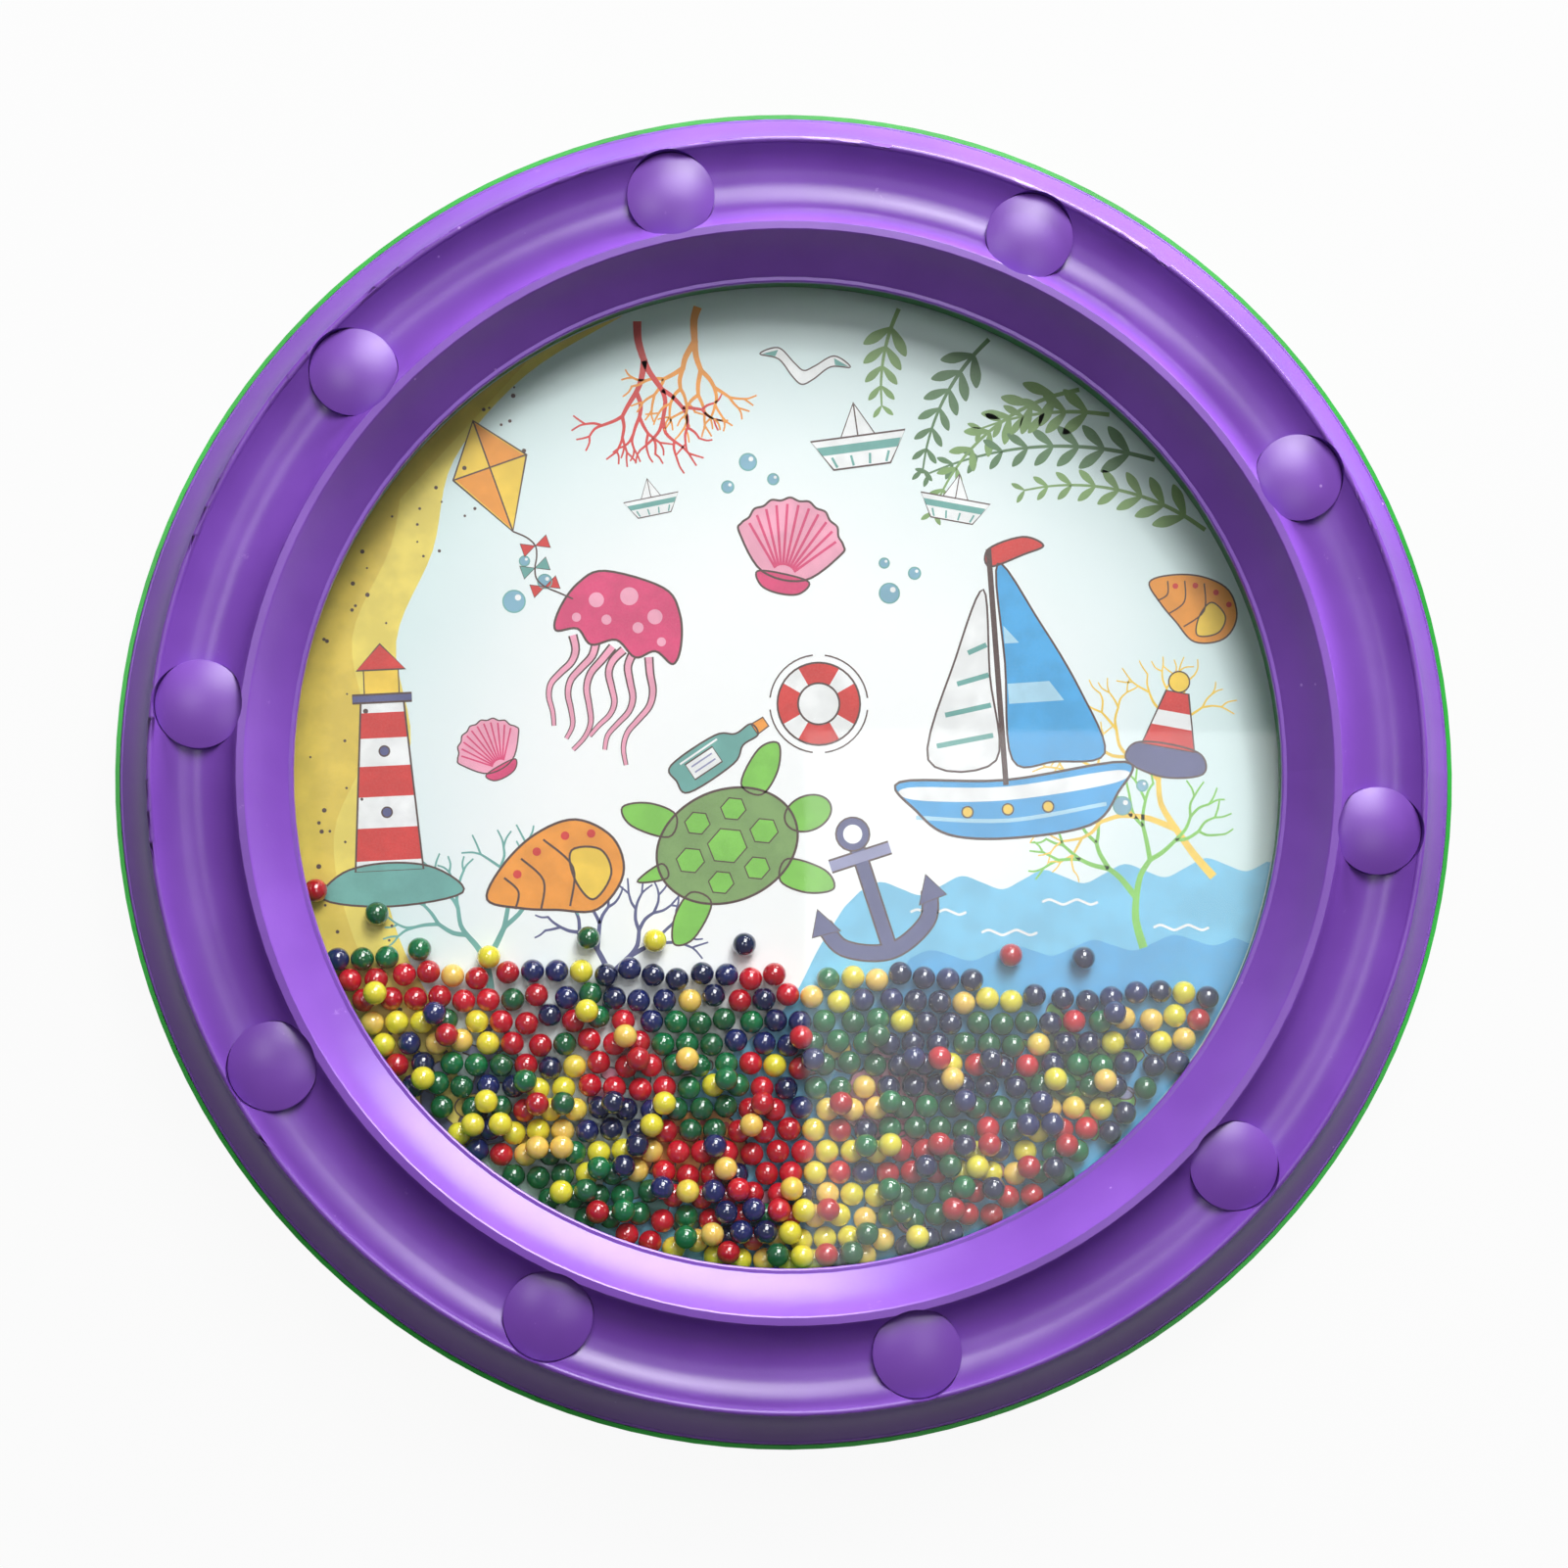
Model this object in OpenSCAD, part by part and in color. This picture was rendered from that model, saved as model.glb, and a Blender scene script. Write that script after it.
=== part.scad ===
// Children's ocean drum. Two moulded frames clamp a clear window, a spacer ring and a printed
// back around a shallow round chamber, in which a few hundred small beads roll loose.
// The drum lies on its back: +Z is its axis and points out of the window, +Y is up in the picture.
// Heights written as h are measured from the joint between the two frames.

/* [Drum] */
// Diameter over the lip of the back frame
drum_d = 260; // [220:1:300]
// Height of each half, from the joint to its flat crest
half_h = 18; // [16.5:0.1:22]
// Wall of the two moulded frames
wall = 2; // [1.6:0.1:2.4]

/* [Frame section] */
// Width of the sloping bevel, from the edge of the view to the crest
bevel_w = 7.5; // [6.5:0.1:10]
// Width of the rounded crest
crest_w = 2.4; // [2:0.1:3.2]
// Width of the flat on the crest, which the drum rests on
crest_flat = 1.4; // [1:0.1:1.8]
// Depth of the channel below the line from crest to rim
channel_depth = 4.5; // [3.6:0.1:5.2]
// How much lower the rim stands than the crest
rim_drop = 1.8; // [1:0.1:2.6]
// Width of the rim's rounded top
rim_w = 1.4; // [1.2:0.1:2.2]
// Width of the flare, from the rim out to the edge of the flange
flare_w = 7.4; // [6:0.1:9]
// Depth of the flare below the line from rim to flange
flare_depth = 1.4; // [0.8:0.1:1.6]
// Depth of the dish in the bevel
bevel_dish = 0.4; // [0.2:0.05:0.8]
// Width of the narrow ledge round the window
ledge_w = 0.9; // [0.6:0.1:1.6]
// Thickness of that ledge
ledge_t = 1.3; // [1:0.1:1.6]
// Height of the window's seat above the joint
seat_h = 7.2; // [7:0.1:8.4]
// Thickness of the flange at the joint
flange_t = 2; // [1.6:0.1:2.6]
// Width of the land where the flanges meet
land_w = 3.5; // [2.5:0.1:4.5]
// Wall of the skirt that locates the window and the spacer ring
skirt_t = 1.6; // [1.4:0.1:1.8]
// Radius of the moulded edges
edge_r = 0.5; // [0.4:0.05:0.6]

/* [Joint between the frames] */
// Width of the back frame's lip round the front flange
lip_w = 0.85; // [0.7:0.05:1.4]
// Height of that lip above the joint
lip_h = 1.4; // [1:0.1:1.6]
// Gap between the lip and the front flange
flange_gap = 0.15; // [0.1:0.05:0.4]

/* [Window and picture] */
// Thickness of the clear window
window_t = 2; // [1.5:0.1:2.6]
// Thickness of the back plate
plate_t = 1.7; // [1.4:0.1:2.2]
// Thickness of the printed film
print_t = 0.3; // [0.2:0.05:0.5]
// How far the chamber's wall lies outside the edge of the view
view_margin = 2.1; // [1.4:0.1:2.5]
// Wall of the spacer ring
ring_t = 2.1; // [1.8:0.1:2.5]
// Gap between the discs or the ring and the skirts
disc_gap = 0.2; // [0.1:0.05:0.3]
// Bevel on the edges of the discs and the ring
disc_bevel = 0.3; // [0.2:0.05:0.4]

/* [Caps and screws] */
// Number of caps, each over one screw
cap_count = 10; // [8:1:12]
// Angle of the first cap from +X
cap_phase = 30; // [0:1:44]
// Diameter of a cap
cap_d = 16.8; // [14:0.1:20]
// How far a cap reaches over each side of the channel
cap_bite = 0.75; // [0.6:0.05:0.9]
// Height of a cap's straight edge
cap_edge_h = 1.6; // [1:0.1:2]
// Rise of a cap's dome
cap_rise = 1.3; // [1:0.1:2]
// Gap round a cap in its pocket
cap_gap = 0.15; // [0.1:0.05:0.3]
// Height of a cap's pad above the channel's floor
pad_h = 0.6; // [0.4:0.1:1]
// Thickness of a cap over its hollow spigot
cap_t = 1.6; // [1.3:0.1:2]
// Diameter of a cap's spigot
spigot_d = 7.8; // [7.4:0.1:8.6]
// Length of the spigot
spigot_l = 3.6; // [3:0.1:4.2]
// Wall of the spigot
spigot_t = 1.1; // [0.9:0.1:1.4]
// Width of the two slots that let the spigot spring
slot_w = 1; // [0.8:0.1:1.4]
// Gap between a spigot and its well
well_gap = 0.08; // [0.05:0.01:0.15]
// Wall of the bosses
boss_t = 1.6; // [1.4:0.1:2.2]
// Floor of a boss, which the screw's head bears on
boss_floor = 3; // [2.4:0.1:3.6]
// Height of that floor above the joint
boss_clear = 1; // [0.6:0.1:1.6]
// Diameter of a screw's head
head_d = 6.8; // [6:0.1:7.2]
// Height of a screw's head
head_h = 2.2; // [1.8:0.1:2.6]
// Diameter of a screw's shank
shank_d = 3.5; // [3:0.1:3.8]
// Length of a screw below its head
screw_l = 12.5; // [10:0.1:12.8]
// Length of a screw's point
point_l = 2.4; // [1.5:0.1:3]
// Width of the cross recess in the head
recess_w = 1; // [0.8:0.1:1.2]
// Depth of the cross recess
recess_h = 1.3; // [1:0.1:1.5]
// Clearance of a screw in the hole that it passes through
shank_gap = 0.35; // [0.25:0.05:0.5]
// Clearance of a screw in the hole that holds it
pilot_gap = 0.05; // [0.03:0.01:0.1]
// Thickness of the webs that tie the bosses to the walls
web_t = 1.4; // [1.2:0.1:2]
// How far the webs stay back from the joint
web_clear = 3.5; // [2:0.1:5]

/* [Beads] */
// Diameter of a bead
bead_d = 4.6; // [4:0.1:5]
// Least gap between beads, and under them
bead_gap = 0.06; // [0.05:0.01:0.15]
// Distance from the drum's axis down to the heap's surface, as a share of the chamber's radius
heap_share = 0.41; // [0.3:0.01:0.55]
// Fall of the heap's surface from left to right, as a share of the chamber's radius
fall_share = 0.08; // [0:0.01:0.12]
// Rise of the heap against the wall on the left, as a share of the chamber's radius
bank_share = 0.09; // [0:0.01:0.12]
// Spacing of the grid that the heap starts from, in bead diameters
grid_share = 1.06; // [1.05:0.01:1.2]
// How far the beads start off the grid, as a share of its spacing
jitter_share = 0.32; // [0.2:0.02:0.4]

/* [Hidden] */
$fn = 96;
overrun = 1;

PURPLE = "#7d4db6";
GREEN = "#1fa43a";
CLEAR = [0.85, 0.93, 0.97, 0.3];
PRINT = "#dcecf2";
PLATE = "#f2f2ee";
STEEL = "#b9bcc0";
BEAD_COLOURS = ["#c3202f", "#f2d43c", "#12703f", "#1f2d63"];

// Radii of the frame section, worked inwards from the drum's edge
r_out = drum_d / 2;
r_flange = r_out - lip_w - flange_gap;
r_rim_out = r_flange - flare_w;
r_rim = r_rim_out - rim_w;
channel_w = cap_d - 2 * cap_bite;
r_crest_out = r_rim - channel_w;
r_crest = r_crest_out - crest_w;
r_view = r_crest - bevel_w;
r_chamber = r_view + view_margin;
r_ring = r_chamber + ring_t;
r_skirt = r_ring + disc_gap;
r_skirt_out = r_skirt + skirt_t;
r_land = r_flange - land_w;
r_caps = r_rim - channel_w / 2;

// Heights above the joint
rim_h = half_h - rim_drop;
print_top = plate_t + print_t - seat_h;
window_base = seat_h - window_t;

// Centres of the rounded rim and crest, and where the hollow sides meet them
bead_meet = 25;
rim_c = [r_rim + rim_w / 2, rim_h - rim_w / 2];
crest_c = [r_crest + crest_w / 2,
           half_h - sqrt(crest_w * crest_w - crest_flat * crest_flat) / 2];
flare_a = [r_flange - edge_r, flange_t];
flare_b = rim_c + rim_w / 2 * [cos(bead_meet), sin(bead_meet)];
channel_a = rim_c + rim_w / 2 * [-cos(bead_meet), sin(bead_meet)];
channel_b = crest_c + crest_w / 2 * [cos(bead_meet), sin(bead_meet)];
bevel_a = crest_c + crest_w / 2 * [-cos(bead_meet), sin(bead_meet)];
bevel_b = [r_view + ledge_w, seat_h + ledge_t];
channel_c = arc_centre(channel_a, channel_b, channel_depth);
channel_r = norm(channel_a - channel_c);
channel_floor = channel_c.y - channel_r;
pad_top = channel_floor + pad_h;
head_seat = boss_clear + boss_floor;

// Round sizes of the fasteners
well_r = spigot_d / 2 + well_gap;
boss_r = well_r + boss_t;
back_boss_r = shank_d / 2 + pilot_gap + boss_t;
pocket_r = cap_d / 2 + cap_gap;
dome_r = arc_radius(cap_d - 2 * edge_r, cap_rise);

function arc_radius(chord, sagitta) = (chord * chord / 4 + sagitta * sagitta) / (2 * sagitta);

// Centre of the arc from a to b that bulges to the left of the way there by the sagitta
function arc_centre(a, b, sagitta) =
    let (span = b - a, left = [-span.y, span.x] / norm(span))
    (a + b) / 2 - left * (arc_radius(norm(span), sagitta) - sagitta);

function bearing(v) = atan2(v.y, v.x);

// Round hollow in the side that runs from a to b, enlarged by the given amount
module hollow_side(a, b, depth, more = 0) {
    centre = arc_centre(a, b, depth);
    radius = norm(a - centre) + more;
    intersection() {
        translate(centre)
            circle(radius);
        translate(a)
            rotate(bearing(b - a))
                translate([-more, -radius])
                    square([norm(b - a) + 2 * more, 2 * radius]);
    }
}

// Outer shape of a frame's section, for a flange that reaches out to r_edge
module section_outline(r_edge) {
    difference() {
        polygon([[r_edge, 0], [r_edge, flange_t - edge_r / 2], [r_edge - edge_r / 2, flange_t],
                 flare_a, flare_b, rim_c, channel_a, channel_b, crest_c, bevel_a, bevel_b,
                 [r_view + edge_r / 2, bevel_b.y], [r_view, bevel_b.y - edge_r / 2],
                 [r_view, seat_h], [r_skirt, seat_h], [r_skirt, 0]]);
        hollow_side(flare_a, flare_b, flare_depth);
        hollow_side(channel_a, channel_b, channel_depth);
        hollow_side(bevel_a, bevel_b, bevel_dish);
    }
    translate(rim_c)
        circle(d = rim_w);
    intersection() {
        translate(crest_c)
            circle(d = crest_w);
        translate([r_crest - overrun, 0])
            square([crest_w + 2 * overrun, half_h]);
    }
}

// Hollow inside a frame, grown by the given amount into the walls around it
module section_hollow(grow = 0) {
    difference() {
        polygon([[r_skirt_out - grow, -overrun],
                 [r_skirt_out - grow, (seat_h + half_h) / 2 - wall / 2],
                 crest_c - [0, wall - grow],
                 crest_c + [crest_w / 2, grow - wall / 2],
                 rim_c + [-rim_w / 2, grow - wall / 2],
                 rim_c + [rim_w / 2 - wall + grow, grow - wall],
                 [r_land + grow, -overrun]]);
        translate(channel_c)
            circle(channel_r + wall - grow);
        hollow_side(flare_a, flare_b, flare_depth, wall - grow);
    }
}

module frame_ring(r_edge) {
    rotate_extrude()
        difference() {
            section_outline(r_edge);
            section_hollow();
        }
}

// Web across the hollow at one boss, shaped to the hollow
module web() {
    rotate([90, 0, 0])
        translate([0, 0, -web_t / 2])
            linear_extrude(web_t)
                intersection() {
                    section_hollow(wall / 4);
                    translate([0, web_clear])
                        square([r_out, half_h]);
                }
}

module at_caps() {
    for (i = [1:cap_count])
        at_cap(i)
            children();
}

module at_cap(i) {
    rotate(cap_phase + (i - 1) * 360 / cap_count)
        translate([r_caps, 0, 0])
            children();
}

module at_webs() {
    for (i = [1:cap_count])
        rotate(cap_phase + (i - 1) * 360 / cap_count)
            children();
}

// Moulded front frame: bevel, channel with ten cap pockets, rim and flange
module front_frame() {
    color(PURPLE)
        translate([0, 0, half_h])
            difference() {
                union() {
                    frame_ring(r_flange);
                    pocket_cups();
                    at_caps()
                        front_boss();
                    at_webs()
                        web();
                }
                at_caps()
                    front_boss_holes();
            }
}

// Cups under the channel that close the pockets, up to the middle of the channel's wall
module pocket_cups() {
    intersection() {
        at_caps()
            translate([0, 0, pad_top - wall])
                cylinder(h = half_h, r = pocket_r + wall);
        rotate_extrude()
            difference() {
                polygon([[r_crest, head_seat], crest_c - [crest_w / 2, wall / 2], crest_c, rim_c,
                         [rim_c.x, head_seat]]);
                translate(channel_c)
                    circle(channel_r + wall / 2);
            }
    }
}

module front_boss() {
    translate([0, 0, boss_clear])
        cylinder(h = pad_top - wall / 2 - boss_clear, r = boss_r);
    translate([0, 0, pad_top - wall / 2])
        cylinder(h = wall / 2, d = cap_d);
}

module front_boss_holes() {
    translate([0, 0, pad_top])
        cylinder(h = half_h, r = pocket_r);
    translate([0, 0, head_seat])
        cylinder(h = half_h, r = well_r);
    translate([0, 0, boss_clear - overrun])
        cylinder(h = boss_floor + 2 * overrun, r = shank_d / 2 + shank_gap);
}

// Moulded back frame: the same section turned over, with moulded domes and the lip
module back_frame() {
    color(GREEN)
        translate([0, 0, half_h])
            difference() {
                union() {
                    mirror([0, 0, 1]) {
                        frame_ring(r_out);
                        at_caps()
                            back_boss();
                        at_webs()
                            web();
                    }
                    rotate_extrude()
                        translate([r_out - lip_w, -flange_t / 2])
                            square([lip_w, flange_t / 2 + lip_h]);
                }
                at_caps()
                    translate([0, 0, head_seat - screw_l - overrun])
                        cylinder(h = screw_l + overrun, r = shank_d / 2 + pilot_gap);
            }
}

module back_boss() {
    translate([0, 0, pilot_gap])
        cylinder(h = pad_top - wall / 2, r = back_boss_r);
    translate([0, 0, channel_floor - wall / 2])
        cylinder(h = pad_h + wall, d = cap_d);
    translate([0, 0, pad_top])
        rotate_extrude()
            dome_section();
}

// Half section of a cap's edge and dome, which stand on its pad
module dome_section() {
    intersection() {
        translate([0, cap_edge_h + cap_rise - dome_r])
            circle(dome_r);
        polygon([[0, 0], [cap_d / 2, 0], [cap_d / 2, cap_edge_h - edge_r / 2],
                 [cap_d / 2 - edge_r / 5, cap_edge_h - edge_r / 5],
                 [cap_d / 2 - edge_r / 2, cap_edge_h],
                 [cap_d / 2 - edge_r, cap_edge_h + edge_r / 5],
                 [cap_d / 2 - 2 * edge_r, cap_edge_h + cap_rise],
                 [0, cap_edge_h + cap_rise]]);
    }
}

// Domed cap with a slotted hollow spigot that springs into its well
module cap(i) {
    color(PURPLE)
        translate([0, 0, half_h])
            at_cap(i)
                translate([0, 0, pad_top])
                    difference() {
                        rotate_extrude()
                            difference() {
                                union() {
                                    dome_section();
                                    polygon([[0, overrun], [0, -spigot_l],
                                             [spigot_d / 2 - edge_r / 2, -spigot_l],
                                             [spigot_d / 2, edge_r - spigot_l],
                                             [spigot_d / 2, overrun]]);
                                }
                                translate([0, -spigot_l - overrun])
                                    square([spigot_d / 2 - spigot_t,
                                            spigot_l + overrun + cap_edge_h + cap_rise - cap_t]);
                            }
                        for (turn = [0, 90])
                            rotate(turn)
                                translate([-spigot_d, -slot_w / 2, -spigot_l - overrun])
                                    cube([2 * spigot_d, slot_w, spigot_l + overrun - slot_w / 2]);
                    }
}

// Pan-head screw with a cross recess and a point
module screw(i) {
    head_r = 0.75 * head_d;
    color(STEEL)
        translate([0, 0, half_h + head_seat])
            at_cap(i)
                difference() {
                    rotate_extrude() {
                        polygon([[0, -screw_l], [shank_d / 2, point_l - screw_l],
                                 [shank_d / 2, head_h / 4], [0, head_h / 4]]);
                        intersection() {
                            translate([0, head_h - head_r])
                                circle(head_r);
                            square([head_d / 2, head_h]);
                        }
                    }
                    for (turn = [0, 90])
                        rotate(turn)
                            translate([-head_d / 4, -recess_w / 2, head_h - recess_h])
                                cube([head_d / 2, recess_w, recess_h + overrun]);
                }
}

// Disc with bevelled edges, of the given radius and thickness
module disc(r, t) {
    rotate_extrude()
        polygon([[0, 0], [r - disc_bevel, 0], [r, disc_bevel], [r, t - disc_bevel],
                 [r - disc_bevel, t], [0, t]]);
}

module front_window() {
    color(CLEAR)
        translate([0, 0, half_h + window_base])
            disc(r_ring, window_t);
}

module back_plate() {
    color(PLATE)
        translate([0, 0, half_h - seat_h])
            disc(r_ring, plate_t);
}

module sea_print() {
    color(PRINT)
        translate([0, 0, half_h - seat_h + plate_t])
            cylinder(h = print_t, r = r_ring);
}

// Spacer ring that is the chamber's side wall
module chamber_ring() {
    color(GREEN)
        translate([0, 0, half_h + print_top])
            rotate_extrude()
                polygon([[r_chamber, disc_bevel], [r_chamber + disc_bevel, 0],
                         [r_ring - disc_bevel, 0], [r_ring, disc_bevel],
                         [r_ring, window_base - print_top - disc_bevel],
                         [r_ring - disc_bevel, window_base - print_top],
                         [r_chamber + disc_bevel, window_base - print_top],
                         [r_chamber, window_base - print_top - disc_bevel]]);
}

// Loose beads beside the heap: how far their centres stay from where the chamber's wall stops
// them, as a share of a bead's diameter, the side of the heap, and the colour
loose_wall_shares = [13.1, 11.5, 9.6, 8.4, 5.8, 2.2, 0];
loose_sides = [-1, -1, -1, 1, 1, -1, -1];
loose_colours = [3, 1, 2, 0, 3, 2, 0];
n_loose = len(loose_sides);

// Beads keep this far apart, and their centres lie within this radius and at this height
reach = bead_d + bead_gap;
bead_r_max = r_chamber - bead_gap - bead_d / 2;
bead_z = half_h + print_top + bead_gap + bead_d / 2;

function heap_top(x) =
    bead_r_max * (-heap_share - fall_share * x / bead_r_max / 2
                  + bank_share * pow(max(0, -x / bead_r_max), 6));

// A loose bead lies clear of the heap's surface, on its own circle round the drum's axis
function loose_x(r, side, x = 0, turns = 12) =
    turns == 0 ? x
               : let (y = heap_top(x) + 1.1 * reach)
                 loose_x(r, side, side * sqrt(max(0, r * r - y * y)), turns - 1);

function loose_at(k, side) =
    let (r = bead_r_max - loose_wall_shares[k] * bead_d,
         x = loose_x(r, side))
    [x, -sqrt(r * r - x * x)];

// Turn that rolls a loose bead over the top to the heap's other side
function loose_turn(k) =
    loose_sides[k] * (360 - bearing(loose_at(k, 1)) + bearing(loose_at(k, -1)));

module loose_bead(k) {
    color(BEAD_COLOURS[loose_colours[k]])
        translate(concat(loose_at(k, loose_sides[k]), bead_z))
            sphere(d = bead_d, $fn = 32);
}

// The heap starts as a grid of triangles with its beads a little off their places
pitch = grid_share * bead_d;
row_pitch = pitch * sqrt(3) / 2;
n_cols = 2 * ceil(bead_r_max / pitch) + 1;
n_rows = ceil(bead_r_max * (1 - heap_share + fall_share / 2 + bank_share) / row_pitch) + 1;
n_cells = n_rows * n_cols;

function row_of(i) = floor(i / n_cols);
function col_of(i) = i % n_cols;

function grid_point(i) =
    [(col_of(i) - (n_cols - 1) / 2 + (row_of(i) % 2) / 2) * pitch,
     row_of(i) * row_pitch - bead_r_max];

function start_grid() =
    let (dx = rands(-jitter_share, jitter_share, n_cells, 5),
         dy = rands(-jitter_share, jitter_share, n_cells, 9))
    [for (i = [0:n_cells - 1])
        let (p = grid_point(i) + pitch * [dx[i], dy[i]])
        norm(p) < bead_r_max + pitch / 4 && p.y < heap_top(p.x) ? p : undef];

function cell(g, row, col) =
    row < 0 || row >= n_rows || col < 0 || col >= n_cols ? undef : g[row * n_cols + col];

// What lies in the cells around one cell, up to the given number of cells away
function around(g, i, cells) =
    let (row = row_of(i), col = col_of(i))
    [for (r = [row - cells:row + cells], c = [col - cells:col + cells])
        let (q = r == row && c == col ? undef : cell(g, r, c))
        if (!is_undef(q)) q];

function total(v) = len(v) == 0 ? [0, 0] : [for (x = v) 1] * v;

function inside(p) = norm(p) > bead_r_max ? p * bead_r_max / norm(p) : p;

// One bead after those that it overlaps have pushed it away
function pushed(g, i) =
    is_undef(g[i]) ? undef :
    let (p = g[i],
         room = 1.012 * reach,
         pushes = [for (q = around(g, i, 2))
                      let (d = norm(p - q))
                      if (d < room) (p - q) / d * (room - d) / 2])
    inside(p + total(pushes));

function relaxed(g, turns) =
    turns == 0 ? g : relaxed([for (i = [0:n_cells - 1]) pushed(g, i)], turns - 1);

// True if a bead at p stays clear of the loose beads, all the way that they roll
function clear_of_loose(p) =
    let (hits = [for (k = [0:n_loose - 1])
                    let (from = loose_at(k, loose_sides[k]),
                         to = loose_at(k, -loose_sides[k]),
                         ahead = loose_sides[k] * (bearing(p) - bearing(from)) + 720)
                    if (norm(p - from) < reach || norm(p - to) < reach
                        || abs(norm(p) - norm(from)) < reach
                           && ahead % 360 < abs(loose_turn(k))) 1])
    len(hits) == 0;

// The heap's first layer. Of two beads that still overlap, one goes.
function first_layer() =
    let (g = relaxed(start_grid(), 90))
    [for (i = [0:n_cells - 1])
        is_undef(g[i]) || !clear_of_loose(g[i]) ? undef :
        let (rivals = [for (q = around(g, i, 3))
                          if (norm(q - g[i]) < reach && [q.y, q.x] < [g[i].y, g[i].x]) 1])
        len(rivals) > 0 ? undef : g[i]];

// Place over three beads of the first layer, with its height, or undef
function hollow_at(g, i, chance) =
    let (b = cell(g, row_of(i), col_of(i) + 1),
         c = cell(g, row_of(i) + 1, col_of(i) + row_of(i) % 2))
    is_undef(g[i]) || is_undef(b) || is_undef(c) ? undef :
    let (m = (g[i] + b + c) / 3,
         depth_share = (heap_top(m.x) - m.y) / bead_r_max,
         under = [for (q = concat(around(g, i, 2), [g[i]]))
                     if (norm(q - m) < reach) norm(q - m)])
    chance < 1.3 * depth_share - 0.04 && norm(m) < bead_r_max && len(under) > 2
        ? [m.x, m.y, sqrt(reach * reach - pow(min(under), 2)), chance]
        : undef;

function second_layer(g) =
    let (chances = rands(0, 1, n_cells, 51),
         spots = [for (i = [0:n_cells - 1]) hollow_at(g, i, chances[i])])
    [for (i = [0:n_cells - 1])
        is_undef(spots[i]) ? undef :
        let (rivals = [for (q = around(spots, i, 3))
                          if (q[3] < spots[i][3]
                              && norm([for (k = [0:2]) q[k] - spots[i][k]]) < reach) 1])
        len(rivals) > 0 ? undef : [for (k = [0:2]) spots[i][k]]];

// One colour of the heap's beads. Most of the first layer take the colour of their patch of
// the heap, the others any colour.
module beads(colour) {
    first = first_layer();
    second = second_layer(first);
    patches = rands(0, 4, n_cells, 5);
    own = rands(-10, 4, n_cells, 71);
    upper = rands(0, 4, n_cells, 83);
    color(BEAD_COLOURS[colour])
        translate([0, 0, bead_z])
            for (i = [0:n_cells - 1]) {
                patch = floor(row_of(i) / 2) * n_cols + floor(col_of(i) / 3);
                if (!is_undef(first[i]) && floor(own[i] < 0 ? patches[patch] : own[i]) == colour)
                    translate([first[i].x, first[i].y, 0])
                        sphere(d = bead_d, $fn = 32);
                if (!is_undef(second[i]) && floor(upper[i]) == colour)
                    translate(second[i])
                        sphere(d = bead_d, $fn = 32);
            }
}

front_frame();
back_frame();
front_window();
chamber_ring();
sea_print();
back_plate();
for (i = [1:cap_count]) {
    cap(i);
    screw(i);
}
beads(0);  // red_beads
beads(1);  // yellow_beads
beads(2);  // green_beads
beads(3);  // blue_beads
for (i = [1:n_loose])
    loose_bead(i - 1);
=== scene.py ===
import math
import random

import bmesh
import bpy
from mathutils import Matrix, Vector
from mathutils.geometry import tessellate_polygon


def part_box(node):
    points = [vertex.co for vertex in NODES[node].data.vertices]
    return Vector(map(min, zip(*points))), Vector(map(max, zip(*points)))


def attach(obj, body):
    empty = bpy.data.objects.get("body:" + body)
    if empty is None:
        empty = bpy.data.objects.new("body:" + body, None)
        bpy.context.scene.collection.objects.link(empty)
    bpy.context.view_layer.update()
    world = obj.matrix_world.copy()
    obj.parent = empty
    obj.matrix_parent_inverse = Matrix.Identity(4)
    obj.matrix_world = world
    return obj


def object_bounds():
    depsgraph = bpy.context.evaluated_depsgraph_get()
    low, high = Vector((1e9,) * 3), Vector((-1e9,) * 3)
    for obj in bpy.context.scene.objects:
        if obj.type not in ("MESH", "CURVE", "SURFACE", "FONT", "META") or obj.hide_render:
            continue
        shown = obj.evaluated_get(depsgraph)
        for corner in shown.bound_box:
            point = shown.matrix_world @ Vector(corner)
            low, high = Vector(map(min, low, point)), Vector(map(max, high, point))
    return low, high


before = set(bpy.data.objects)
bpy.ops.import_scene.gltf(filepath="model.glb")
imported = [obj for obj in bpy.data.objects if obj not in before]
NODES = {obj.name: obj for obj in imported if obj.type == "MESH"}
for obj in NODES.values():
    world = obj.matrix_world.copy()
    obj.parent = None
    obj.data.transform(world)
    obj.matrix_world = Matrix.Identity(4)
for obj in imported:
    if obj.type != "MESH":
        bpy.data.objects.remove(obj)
cad_box = [list(corner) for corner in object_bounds()]

MM = 0.001
CAPS = [n for n in NODES if n.startswith("cap_")]
SCREWS = [n for n in NODES if n.startswith("screw_")]
LOOSE_BEADS = [n for n in NODES if n.startswith("loose_bead_")]


# Shader maths

class Value:
    """A shader socket that works in sums and products: each one adds its Math node."""

    def __init__(self, finish, socket):
        self.finish = finish
        self.socket = socket

    def math(self, operation, *terms):
        return self.finish.add("ShaderNodeMath", {"operation": operation}, dict(enumerate(terms)))

    def __add__(self, other):
        return self.math("ADD", self, other)

    def __radd__(self, other):
        return self.math("ADD", other, self)

    def __sub__(self, other):
        return self.math("SUBTRACT", self, other)

    def __rsub__(self, other):
        return self.math("SUBTRACT", other, self)

    def __mul__(self, other):
        return self.math("MULTIPLY", self, other)

    def __rmul__(self, other):
        return self.math("MULTIPLY", other, self)

    def __pow__(self, other):
        return self.math("POWER", self, other)

    def at_most(self, limit):
        return self.math("MINIMUM", self, limit)


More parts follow.
